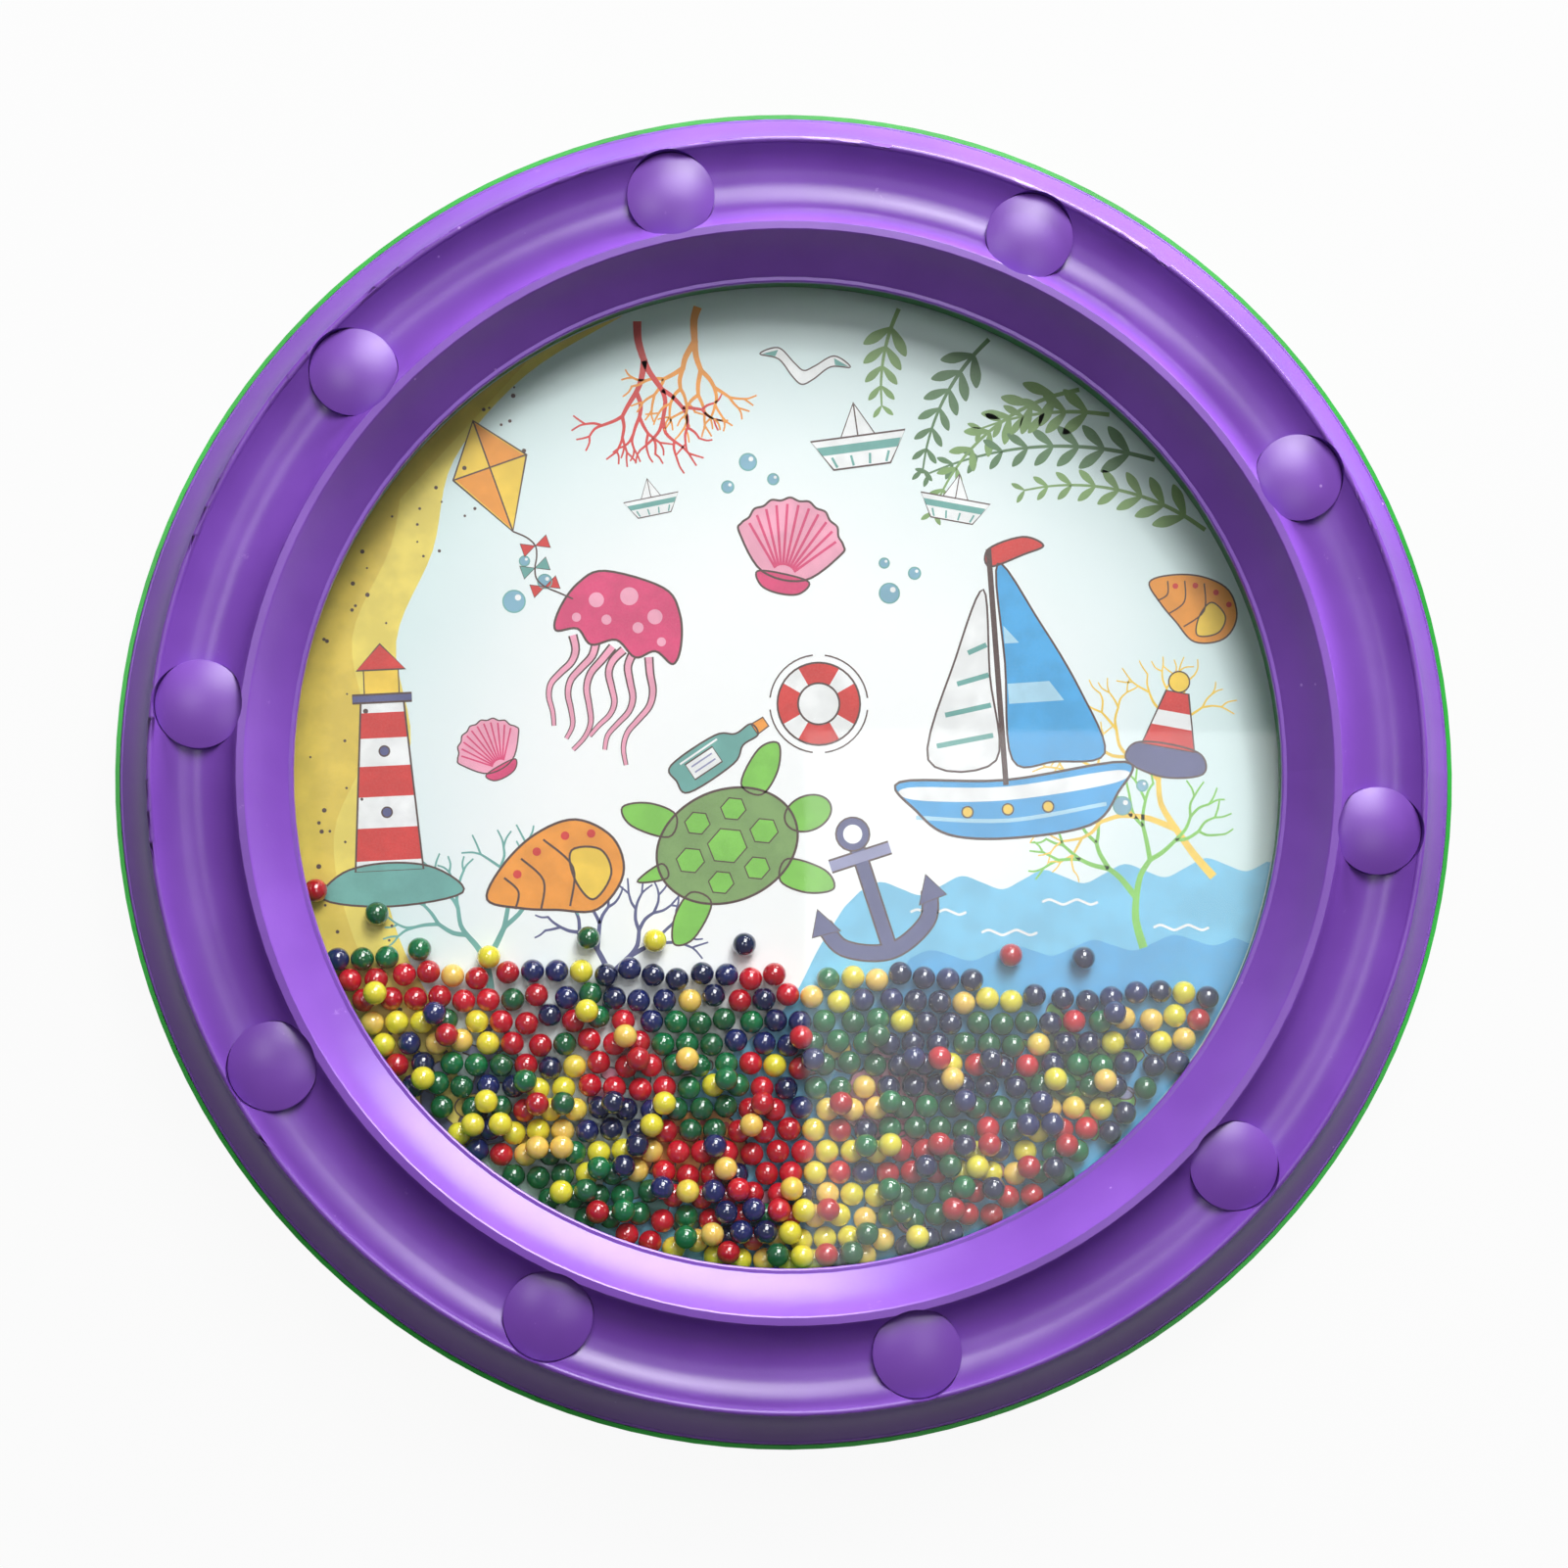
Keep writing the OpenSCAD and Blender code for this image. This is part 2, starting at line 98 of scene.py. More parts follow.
class Finish:
    """A material, or the room's own light, while it is made. Its nodes come from add(), and its
    patterns from the methods below."""

    def __init__(self, name, shelf=bpy.data.materials):
        self.material = shelf.new(name)
        self.material.use_nodes = True
        self.tree = self.material.node_tree
        self.tree.nodes.clear()

    def add(self, kind, settings=None, inputs=None, output=0):
        """Adds a node. Its settings come first, then its inputs, each a value or a link."""
        node = self.tree.nodes.new(kind)
        for name, setting in (settings or {}).items():
            setattr(node, name, setting)
        for key, value in (inputs or {}).items():
            if isinstance(value, Value):
                self.tree.links.new(value.socket, node.inputs[key])
            else:
                node.inputs[key].default_value = value
        return Value(self, node.outputs[output])

    def place(self):
        """Where a point of the surface is, in the piece's own metres."""
        return self.add("ShaderNodeTexCoord", output="Object")

    def noise(self, size, detail, rough=0.5, shift=0.0):
        """Cloudy pattern from 0 to 1 whose patches are about size metres wide."""
        moved = self.vector("ADD", self.place(), (shift, shift, shift))
        return self.add("ShaderNodeTexNoise", {},
                        {"Vector": moved, "Scale": 1 / size, "Detail": detail, "Roughness": rough})

    def smooth_step(self, value, low, high):
        """0 below low, 1 above high and a soft rise between them."""
        return self.add("ShaderNodeMapRange", {"interpolation_type": "SMOOTHSTEP"},
                        {"Value": value, "From Min": low, "From Max": high})

    def mix(self, factor, a, b):
        """Colour between a, at factor 0, and b, at factor 1."""
        return self.add("ShaderNodeMix", {"data_type": "RGBA"}, {0: factor, 6: a, 7: b}, output=2)

    def vector(self, operation, a, b=(0, 0, 0), output=0):
        return self.add("ShaderNodeVectorMath", {"operation": operation}, {0: a, 1: b}, output)

    def round_edge(self, ring, height, radius):
        """Direction that a surface faces, made exact on the rounded edge that runs round the
        drum at the given ring radius and height. Past the edge, and on cuts through it, the
        mesh's own takes over."""
        place = self.place()
        outward = self.vector("NORMALIZE", self.vector("MULTIPLY", place, (1, 1, 0)))
        on_ring = self.vector("MULTIPLY", outward, (ring, ring, 0))
        spoke = self.vector("SUBTRACT", place, self.vector("ADD", on_ring, (0, 0, height)))
        away = self.vector("LENGTH", spoke, output="Value")
        exact = self.vector("NORMALIZE", spoke)
        own = self.add("ShaderNodeNewGeometry", output="Normal")
        flat = self.add("ShaderNodeNewGeometry", output="True Normal")
        alike = self.vector("DOT_PRODUCT", flat, exact, output="Value")
        uncut = self.smooth_step(alike, low=0.0, high=0.25)
        on_edge = uncut * (1 - self.smooth_step(away, low=1.03 * radius, high=1.1 * radius))
        return self.vector("NORMALIZE", self.add(
            "ShaderNodeMix", {"data_type": "VECTOR"}, {0: on_edge, 4: own, 5: exact}, output=1))

    def bump(self, height, distance, strength, normal=None):
        """Relief of the given depth in metres where height is 1."""
        inputs = {"Height": height, "Distance": distance, "Strength": strength}
        if normal is not None:
            inputs["Normal"] = normal
        return self.add("ShaderNodeBump", {}, inputs)

    def plastic(self, **inputs):
        """Principled surface; an argument's name is the socket's in lower case."""
        names = {name.replace("_", " ").title().replace("Ior", "IOR"): value
                 for name, value in inputs.items()}
        return self.add("ShaderNodeBsdfPrincipled", {}, names)

    def done(self, surface, output="ShaderNodeOutputMaterial"):
        """Shows the surface and hands the finished material over."""
        self.tree.links.new(surface.socket, self.tree.nodes.new(output).inputs["Surface"])
        return self.material


def paint(node, material):
    """Puts a material on a CAD node."""
    for slot in NODES[node].material_slots:
        slot.material = material


def rgb(r, g, b):
    """Colour that shows as the given values from 0 to 255."""
    def linear(v):
        v = v / 255
        return v / 12.92 if v <= 0.04045 else ((v + 0.055) / 1.055) ** 2.4
    return (linear(r), linear(g), linear(b), 1)


# Finishes of the drum

WHITE = (1, 1, 1, 1)

# The rounded edge of each frame's rim: radius of its ring, depth of its middle below the crest
# and its own radius
RIM_RING = 120.9 * MM
RIM_DEPTH = 2.5 * MM
RIM_ROUND = 0.7 * MM
FRONT_RIM = (RIM_RING, cad_box[1][2] - RIM_DEPTH, RIM_ROUND)
BACK_RIM = (RIM_RING, cad_box[0][2] + RIM_DEPTH, RIM_ROUND)
# Spacing of the pale raised specks whose colour is a painted glint
GLINT_SPECK_SPACING = 11 * MM


def moulded_plastic(name, colour, deep, worn_and_glint, gloss, rim=None):
    """Injection-moulded plastic: slow clouds of shade, flow marks, pale specks painted as glints and
    rubbed spots.
    """
    finish = Finish(name)
    clouds = finish.noise(size=30 * MM, detail=3, rough=0.55)
    shade = finish.mix(finish.smooth_step(clouds, low=0.3, high=0.7), deep, colour)
    # Pale raised specks whose colour is a painted glint
    to_glint_speck = finish.add(
        "ShaderNodeTexVoronoi", {"feature": "F1"},
        {"Vector": finish.place(), "Scale": 1 / GLINT_SPECK_SPACING, "Randomness": 1.0})
    glint_speck = 1 - finish.smooth_step(to_glint_speck, low=0.018, high=0.034)
    scuffs = finish.noise(size=6 * MM, detail=8, rough=0.72, shift=3.1)
    rubbed = finish.smooth_step(scuffs, low=0.66, high=0.74)
    # The worn colour goes on the rubbed spots and paints the glints of the specks
    shade = finish.mix(glint_speck * 0.6 + rubbed * 0.3, shade, worn_and_glint)
    skin = finish.noise(size=0.9 * MM, detail=1, rough=0.4, shift=7.7)
    ripple = finish.noise(size=9 * MM, detail=2, shift=1.3)
    height = skin * 0.25 + ripple + glint_speck * 0.6
    faces = finish.round_edge(*rim) if rim else None
    return finish.done(finish.plastic(
        base_color=shade,
        roughness=gloss + 0.06 * clouds + 0.15 * rubbed,
        normal=finish.bump(height, distance=0.06 * MM, strength=0.6, normal=faces),
        specular_ior_level=0.5))


# Share of light that the window mirrors when seen straight on, and what a low angle adds
MIRROR_STRAIGHT = 0.02
MIRROR_LOW = 0.9


def clear_window():
    """Clear polished sheet: what lies behind shows, and lamps mirror in it."""
    finish = Finish("clear window sheet")
    through = finish.add("ShaderNodeBsdfTransparent", {}, {"Color": (0.99, 0.996, 0.994, 1)})
    mirror = finish.add("ShaderNodeBsdfGlossy", {}, {"Color": WHITE, "Roughness": 0.03})
    slant = finish.add("ShaderNodeLayerWeight", {}, {"Blend": 0.5}, output="Facing")
    share = MIRROR_STRAIGHT + MIRROR_LOW * slant ** 5
    return finish.done(finish.add("ShaderNodeMixShader", {}, {0: share, 1: through, 2: mirror}))


def print_ground():
    """Printed paper of the picture: pale sky-blue sea that fades to white in the middle."""
    finish = Finish("printed sea ground")
    flat = finish.vector("MULTIPLY", finish.place(), (1, 1, 0))
    radius = finish.vector("LENGTH", flat, output="Value")
    wash = finish.noise(size=45 * MM, detail=3)
    edge = finish.smooth_step(radius + 20 * MM * wash, low=45 * MM, high=105 * MM)
    ground = finish.mix(edge, WHITE, rgb(220, 238, 238))
    grain = finish.noise(size=0.5 * MM, detail=1)
    return finish.done(finish.plastic(
        base_color=finish.mix(grain * 0.05, ground, rgb(150, 170, 180)),
        roughness=0.42,
        normal=finish.bump(grain, distance=0.01 * MM, strength=0.4)))


def printed_ink(name, colour):
    """Printed colour, a little cloudy."""
    finish = Finish("ink " + name)
    cloud = finish.noise(size=7 * MM, detail=3, rough=0.6)
    dots = finish.noise(size=0.4 * MM, detail=1)
    deeper = tuple(0.84 * c for c in colour[:3]) + (1,)
    colours = finish.mix(finish.smooth_step(cloud, low=0.35, high=0.7), deeper, colour)
    return finish.done(finish.plastic(
        base_color=finish.mix(dots * 0.06, colours, WHITE),
        roughness=0.4,
        normal=finish.bump(dots, distance=0.006 * MM, strength=0.4)))


def bead_plastic(name, colours, glow):
    """Translucent glossy bead. Each bead has its own shade between the two colours."""
    finish = Finish(name + " bead plastic")
    own = finish.add("ShaderNodeNewGeometry", output="Random Per Island")
    swirl = finish.noise(size=1.6 * MM, detail=2)
    shade = finish.smooth_step(own * 0.85 + swirl * 0.15, low=0.3, high=0.55)
    return finish.done(finish.plastic(
        base_color=finish.mix(shade, *colours),
        roughness=0.05 + 0.05 * finish.noise(size=1.1 * MM, detail=1, shift=5.0),
        subsurface_weight=glow,
        subsurface_radius=(1.0, 1.0, 1.0),
        subsurface_scale=1.2 * MM,
        specular_ior_level=0.8,
        coat_weight=1.0,
        coat_roughness=0.02))


def zinc_plate():
    """Mottled plating of the screws."""
    finish = Finish("zinc-plated steel")
    tone = finish.noise(size=0.8 * MM, detail=2)
    return finish.done(finish.plastic(
        base_color=finish.mix(tone, rgb(150, 152, 156), rgb(200, 202, 205)),
        metallic=1.0,
        roughness=0.25 + 0.2 * tone))


def plate_card():
    """Plain white sheet of the back plate, with faint dust and rub marks."""
    finish = Finish("white back sheet")
    dust = finish.noise(size=14 * MM, detail=4, rough=0.6)
    grime = finish.smooth_step(dust, low=0.45, high=0.8)
    return finish.done(finish.plastic(
        base_color=finish.mix(grime, rgb(236, 236, 230), rgb(214, 214, 206)),
        roughness=0.4 + 0.15 * dust,
        normal=finish.bump(finish.noise(size=1.5 * MM, detail=2), distance=0.02 * MM, strength=0.4)))


# Each plastic's colour, its deeper shade, its colour where worn and of the painted glints, then the
# roughness
PURPLE = (rgb(121, 73, 174), rgb(110, 64, 161), rgb(190, 152, 226))
GREEN = (rgb(14, 170, 44), rgb(8, 150, 36), rgb(150, 218, 160))
DARK_GREEN = (rgb(14, 124, 40), rgb(10, 108, 34), rgb(120, 190, 130))
FRAME_GLOSS = 0.27
CAP_GLOSS = 0.3


def dress_drum():
    paint("front_frame", moulded_plastic("purple frame plastic", *PURPLE, FRAME_GLOSS, FRONT_RIM))
    cap_plastic = moulded_plastic("purple cap plastic", *PURPLE, CAP_GLOSS)
    for node in CAPS:
        paint(node, cap_plastic)
    paint("back_frame", moulded_plastic("green frame plastic", *GREEN, FRAME_GLOSS, BACK_RIM))
    paint("chamber_ring", moulded_plastic("green ring plastic", *DARK_GREEN, FRAME_GLOSS))
    paint("front_window", clear_window())
    paint("sea_print", print_ground())
    paint("back_plate", plate_card())
    steel = zinc_plate()
    for node in SCREWS:
        paint(node, steel)


# Beads

# Two shades of each colour, and the share of light that spreads inside the bead
BEAD_COLOURS = {
    "red": ((rgb(208, 22, 44), rgb(186, 14, 34)), 0.5),
    "yellow": ((rgb(250, 208, 104), rgb(234, 222, 62)), 0.7),
    "green": ((rgb(10, 116, 66), rgb(22, 96, 56)), 0.5),
    "blue": ((rgb(28, 38, 100), rgb(18, 28, 74)), 0.4),
}
LOOSE_COLOURS = ["blue", "yellow", "green", "red", "blue", "green", "red"]


def dress_beads():
    plastics = {name: bead_plastic(name, colours, glow)
                for name, (colours, glow) in BEAD_COLOURS.items()}
    for name, plastic in plastics.items():
        paint(name + "_beads", plastic)
    for node, colour in zip(sorted(LOOSE_BEADS), LOOSE_COLOURS):
        paint(node, plastics[colour])


# The printed picture: a sea scene in flat inks, drawn in millimetres from the drum's axis

INKS = {
    "outline": rgb(88, 62, 58),
    "bright blue": rgb(72, 172, 232),
    "pale blue": rgb(180, 224, 246),
    "water": rgb(124, 204, 240),
    "deep water": rgb(84, 176, 230),
    "magenta": rgb(228, 68, 122),
    "pink": rgb(250, 170, 196),
    "orange": rgb(250, 160, 58),
    "yellow": rgb(254, 212, 76),
    "sand": rgb(246, 222, 104),
    "dark sand": rgb(236, 204, 84),
    "red": rgb(222, 58, 54),
    "navy": rgb(92, 94, 142),
    "lilac": rgb(156, 156, 196),
    "lime": rgb(134, 208, 82),
    "leaf": rgb(132, 168, 100),
    "dark leaf": rgb(92, 132, 86),
    "teal": rgb(112, 176, 168),
    "white": rgb(252, 252, 252),
    "bubble": rgb(134, 182, 204),
}
PRINT_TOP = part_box("sea_print")[1].z
EDGE_OF_PRINT = 96.9
# An ink layer's thickness, and the far smaller steps that lift each patch over the one before,
# so that the two don't lie in one plane. The steps of a layer are used in turn.
LAYER = 0.006
NEXT_PATCH = 0.0004
STEPS_IN_LAYER = 12


def between(a, b, c, d, t):
    """Value at share t from b to c on the smooth curve through the four."""
    return 0.5 * (2 * b + (c - a) * t + (2 * a - 5 * b + 4 * c - d) * t * t
                  + (3 * b - a - 3 * c + d) * t ** 3)


def smooth(points, closed=True, steps=6):
    """Rounded line through the points, with the given steps from each to the next."""
    count = len(points)
    line = []
    for i in range(count if closed else count - 1):
        if closed:
            near = [points[(i + k) % count] for k in (-1, 0, 1, 2)]
        else:
            near = [points[min(max(i + k, 0), count - 1)] for k in (-1, 0, 1, 2)]
        for step in range(steps):
            line.append(tuple(between(*values, step / steps) for values in zip(*near)))
    return line if closed else line + [points[-1]]


def arc(x, y, rx, ry=None, start=0, end=360, count=24):
    """Points on an ellipse round (x, y), between two angles in degrees."""
    ry = rx if ry is None else ry
    angles = [math.radians(start + (end - start) * i / count) for i in range(count + 1)]
    return [(x + rx * math.cos(t), y + ry * math.sin(t)) for t in angles]


def mirrored(points):
    """The points of a left half, then those of its mirror image on the right."""
    return points + [(-x, y) for x, y in reversed(points)]


class Picture:
    """Flat patches of ink in millimetres. A patch of a higher layer covers a lower one."""

    def __init__(self):
        self.mesh = bmesh.new()
        self.inks = []
        self.laid = 0
        self.at(0, 0)

    def at(self, x, y, turn=0, size=1):
        """Puts the origin of the next shapes at (x, y), turned and enlarged."""
        self.move = (Matrix.Translation((x, y, 0)) @ Matrix.Rotation(math.radians(turn), 4, "Z")
                     @ Matrix.Scale(size, 4))
        return self

    def faces(self, points, corners, ink, layer):
        """Lays faces, given as numbers of their points, on a layer."""
        if ink not in self.inks:
            self.inks.append(ink)
        self.laid += 1
        z = LAYER * (layer + 1) + NEXT_PATCH * (self.laid % STEPS_IN_LAYER)
        spots = [self.move @ Vector((x, y, 0)) for x, y in points]
        verts = [self.mesh.verts.new((v.x * MM, v.y * MM, PRINT_TOP + z * MM)) for v in spots]
        for face in corners:
            made = self.mesh.faces.new([verts[i] for i in face])
            made.normal_update()
            if made.normal.z < 0:
                made.normal_flip()
            made.material_index = self.inks.index(ink)

    def patch(self, points, ink, layer):
        triangles = tessellate_polygon([[Vector((x, y, 0)) for x, y in points]])
        self.faces(points, [corners for corners in triangles if len(set(corners)) == 3],
                   ink, layer)

    def line(self, points, ink="outline", layer=5, width=0.4, closed=False, tip=1.0):
        """Ribbon along the points. Its width falls to the tip's share at the far end."""
        count = len(points)
        sides = []
        for i, (x, y) in enumerate(points):
            before = points[i - 1] if closed or i else points[0]
            after = points[(i + 1) % count] if closed or i < count - 1 else points[-1]
            dx, dy = after[0] - before[0], after[1] - before[1]
            half = width / 2 * (1 + (tip - 1) * i / max(count - 1, 1)) / (math.hypot(dx, dy) or 1)
            sides += [(x - dy * half, y + dx * half), (x + dy * half, y - dx * half)]
        quads = [(2 * i, 2 * i + 1, (2 * i + 3) % len(sides), (2 * i + 2) % len(sides))
                 for i in range(count if closed else count - 1)]
        self.faces(sides, quads, ink, layer)

    def shape(self, points, ink, layer=2, width=0.4, rounded=True):
        """Filled patch with a thin dark outline."""
        points = smooth(points) if rounded else points
        self.patch(points, ink, layer)
        self.line(points, layer=5, width=width, closed=True)

    def dot(self, x, y, r, ink, layer=3, outlined=False):
        points = arc(x, y, r, count=20)[:-1]
        self.patch(points, ink, layer)
        if outlined:
            self.line(points, width=0.3, closed=True)

    def finished(self):
        mesh = bpy.data.meshes.new("sea_print_inks")
        self.mesh.to_mesh(mesh)
        for name in self.inks:
            mesh.materials.append(printed_ink(name, INKS[name]))
        piece = bpy.data.objects.new("sea_print_inks", mesh)
        bpy.context.scene.collection.objects.link(piece)
        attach(piece, "drum")


def wave(x0, x1, y, height, count, lean=0.0):
    """Wavy line from x0 to x1 at about y, with four points to a wave. It climbs by lean."""
    shares = [i / (4 * count) for i in range(4 * count + 1)]
    return [(x0 + (x1 - x0) * share, y + height * math.sin(i * math.pi / 2) + lean * share)
            for i, share in enumerate(shares)]


GRAINS = 70
PEBBLES = 60
PEBBLE_INKS = ["lilac", "pale blue", "teal", "dark sand", "pink"]


def beach(art):
    """Sand down the left side, darker at the edge, with scattered grains."""
    art.at(0, 0)
    shore = smooth([(-33, 91), (-52, 79), (-66, 62), (-70, 44), (-77, 26), (-74, 6), (-80, -12),
                    (-76, -32), (-66, -52), (-62, -74.4)], closed=False)
    rim = arc(0, 0, EDGE_OF_PRINT, start=230, end=110, count=60)
    art.patch(shore + rim, "sand", 0)
    inner = [(x * 1.06 - 4, y * 1.02) for x, y in shore]
    inner = [(x, y) for x, y in inner if math.hypot(x, y) < 94]
    art.patch(inner + arc(0, 0, EDGE_OF_PRINT, start=221, end=122, count=60), "dark sand", 1)
    grains = random.Random(4)
    for _ in range(GRAINS):
        angle = math.radians(grains.uniform(125, 220))
        away = grains.uniform(80, 95)
        size = grains.uniform(0.2, 0.5)
        art.dot(away * math.cos(angle), away * math.sin(angle), size, "outline", 2)


def water(art):
    """Sea at the right. Its left end slopes down to the pebbles."""
    art.at(0, 0)
    surface = smooth(wave(14, 94.6, -23, 1.6, 5, lean=6), closed=False, steps=4)
    surface = [(x, y) for x, y in surface if math.hypot(x, y) < EDGE_OF_PRINT]
    start = math.degrees(math.atan2(surface[-1][1], surface[-1][0]))
    slope = smooth([(-34, -74), (-20, -62), (-9, -53), (0, -45), (6, -34), (11, -26)], closed=False)
    art.patch(surface + arc(0, 0, EDGE_OF_PRINT, start=start, end=-114, count=60) + slope, "water", 0)
    under = smooth(wave(24, 88, -36, 1.3, 4, lean=4), closed=False, steps=4)
    drop = smooth([(-10, -82), (3, -68), (10, -57), (17, -45)], closed=False)
    art.patch(under + arc(0, 0, EDGE_OF_PRINT, start=-20, end=-100, count=50) + drop, "deep water", 1)
    for x, y in ((24, -27), (50, -25), (72, -30), (38, -31)):
        art.line(smooth(wave(x, x + 11, y, 0.5, 2), closed=False, steps=4), "white", 2, 0.5)


# Leaf at the foot of a frond: length, and angle to the stem in degrees. Then how much of the
# length a leaf at the tip has lost.
LEAF_LENGTH = 7.5
LEAF_TURN = 42
LEAF_LOSS = 0.6


def frond(art, length, bend, leaves, ink, layer=1):
    """Stem that bends, with drop-shaped leaves on both sides that get smaller to its tip."""
    stem = []
    x, y, turn = 0.0, 0.0, 90.0
    for _ in range(leaves + 1):
        stem.append((x, y))
        x += length / leaves * math.cos(math.radians(turn))
        y += length / leaves * math.sin(math.radians(turn))
        turn += bend / leaves
    art.line(smooth(stem, closed=False), ink, layer, 0.9, tip=0.4)
    for i, (x, y) in enumerate(stem[1:], 1):
        reach = LEAF_LENGTH * (1 - LEAF_LOSS * i / leaves)
        for side in (-1, 1):
            angle = math.radians(90 + bend * i / leaves + side * LEAF_TURN)
            far = (x + reach * math.cos(angle), y + reach * math.sin(angle))
            wide = (x * 0.4 + far[0] * 0.6, y * 0.4 + far[1] * 0.6)
            across = (-math.sin(angle) * reach / 6, math.cos(angle) * reach / 6)
            leaf = [(x, y), (wide[0] + across[0], wide[1] + across[1]),
                    far, (wide[0] - across[0], wide[1] - across[1])]
            art.patch(smooth(leaf, steps=4), ink, layer)


CORAL_WIDTH = 1.7
# Range of the angle at which a twig forks, of the next twigs' share of its length, and how far
# its middle may stray to a side; then the next twigs' share of its width
FORK = (16, 36)
SHORTER = (0.72, 0.88)
STRAY = (-0.12, 0.12)
THINNER = 0.76


def twigs(art, x, y, turn, length, width, ink, layer, chance, forks):
    """Branching coral, drawn twig by twig. It stops at the print's edge."""
    if forks == 0:
        return
    far = (x + length * math.cos(math.radians(turn)), y + length * math.sin(math.radians(turn)))
    spot = art.move @ Vector((far[0], far[1], 0))
    if math.hypot(spot.x, spot.y) > EDGE_OF_PRINT - 1:
        return
    mid = ((x + far[0]) / 2 + chance.uniform(*STRAY) * length,
           (y + far[1]) / 2 + chance.uniform(*STRAY) * length)
    art.line(smooth([(x, y), mid, far], closed=False, steps=3), ink, layer, width, tip=0.75)
    art.dot(far[0], far[1], width * 0.42, ink, layer)
    for side in (-1, 1) if forks > 2 or chance.random() < 0.8 else (1,):
        twigs(art, far[0], far[1], turn + side * chance.uniform(*FORK),
              length * chance.uniform(*SHORTER), width * THINNER, ink, layer, chance, forks - 1)


def sailboat(art):
    art.line([(0, -14), (0, 33)], "outline", 3, 1.1)
    art.shape([(1.6, -9), (1.6, 10), (1.6, 30), (9, 18), (16, 4), (20, -9), (10, -10)], "bright blue")
    for low, high in ((2, 6), (14, 17.5)):
        reach = [19 - 0.43 * (y + 9) - 0.008 * (y + 9) ** 2 for y in (low, high)]
        art.patch([(1.8, low), (reach[0] * 0.96, low), (reach[1] * 0.94, high), (1.8, high)],
                  "pale blue", 3)
    art.shape([(-1.6, -9), (-1.6, 8), (-1.6, 25), (-8, 12), (-15, -8)], "white")
    for y, reach in ((-4, 11.5), (2, 9.4), (8, 6.6), (14, 4)):
        art.line([(-1.8, y), (-1.6 - reach, y - 1.4)], "teal", 4, 1.0)
    hull = [(-21, -12), (0, -13), (24, -11), (22, -17), (16, -23), (0, -24.5), (-12, -23),
            (-18, -18)]
    art.shape(hull, "bright blue", width=0.5)
    band = [(-19.5, -13.2), (0, -14.3), (22.4, -12.5), (21.6, -15), (0, -17), (-18.4, -15.7)]
    art.patch(smooth(band), "white", 3)
    art.line(smooth([(-18.2, -19.2), (0, -21), (19.6, -19)], closed=False), "pale blue", 4, 0.8)
    for x in (-8, 0, 8):
        art.dot(x, -18.8, 1.1, "yellow", 4, outlined=True)
    art.shape([(0, 33), (7, 35), (11, 33), (7, 31.5), (0, 29.5)], "red", layer=3)


def jellyfish(art):
    for k, x in enumerate((-8.5, -5, -1.7, 1.7, 5, 8.5)):
        drop = 2.6 + 0.25 * (k % 3)
        tail = [(x + 1.5 * math.sin(i * 1.1 + k), -1 - i * drop) for i in range(8)]
        art.line(smooth(tail, closed=False, steps=4), "outline", 2, 1.9, tip=0.5)
        art.line(smooth(tail, closed=False, steps=4), "pink", 3, 1.2, tip=0.5)
    bell = mirrored([(0, 0.5), (-4.5, -1.8), (-8, 0.5), (-12, -1), (-12.5, 3), (-10.5, 9), (-6, 13)])
    art.shape(bell[:-1], "magenta", layer=4, width=0.45)
    for x, y, r in ((-6, 7, 1.5), (0, 9.5, 1.8), (6, 7, 1.5), (-3, 3.8, 1.0), (3.4, 4, 1.1),
                    (8.6, 2.6, 0.9), (-8.8, 2.6, 0.9)):
        art.dot(x, y, r, "pink", 5)


def turtle(art):
    for x, y, turn in ((9, 9, 40), (9, -9, -40), (-9, 8, 140), (-9, -8, -140)):
        cos, sin = math.cos(math.radians(turn)), math.sin(math.radians(turn))
        flipper = [(0, -2.4), (6, -3), (11, -0.5), (8, 2.6), (0, 2.4)]
        art.shape([(x + cos * u - sin * v, y + sin * u + cos * v) for u, v in flipper], "lime")
    art.shape(arc(18, 0, 5, 3.6, count=14)[:-1], "lime")
    art.shape([(-14, -1.6), (-20, 0), (-14, 1.6)], "lime")
    art.shape(arc(0, 0, 15, 11.5, count=24)[:-1], "leaf", layer=3, width=0.5)
    for x, y, r in ((0, 0, 4.2), (-8.2, 0, 3), (8.2, 0, 3), (4, 6.6, 2.7), (-4, 6.6, 2.7),
                    (4, -6.6, 2.7), (-4, -6.6, 2.7)):
        plate = arc(x, y, r, r * 0.9, start=30, end=390, count=6)[:-1]
        art.shape(plate, "lime", layer=4, width=0.3, rounded=False)


def scallop(art):
    ribs = [(math.radians(turn), 11 * (1 + 0.05 * (i % 2)))
            for i, turn in enumerate(range(10, 171, 10))]
    rim = [(reach * math.cos(angle), reach * math.sin(angle)) for angle, reach in ribs]
    art.shape([(4.5, -5)] + rim + [(-4.5, -5)], "pink", width=0.45)
    hinge = [(-5.5, -5.2), (-4, -8), (0, -8.8), (4, -8), (5.5, -5.2), (0, -4.6)]
    art.shape(hinge, "magenta", layer=3)
    for turn in range(25, 156, 13):
        cos, sin = math.cos(math.radians(turn)), math.sin(math.radians(turn))
        art.line([(cos * 2.2, sin * 1.6 - 4.4), (cos * 10.2, sin * 10.2)], "magenta", 4, 0.55)


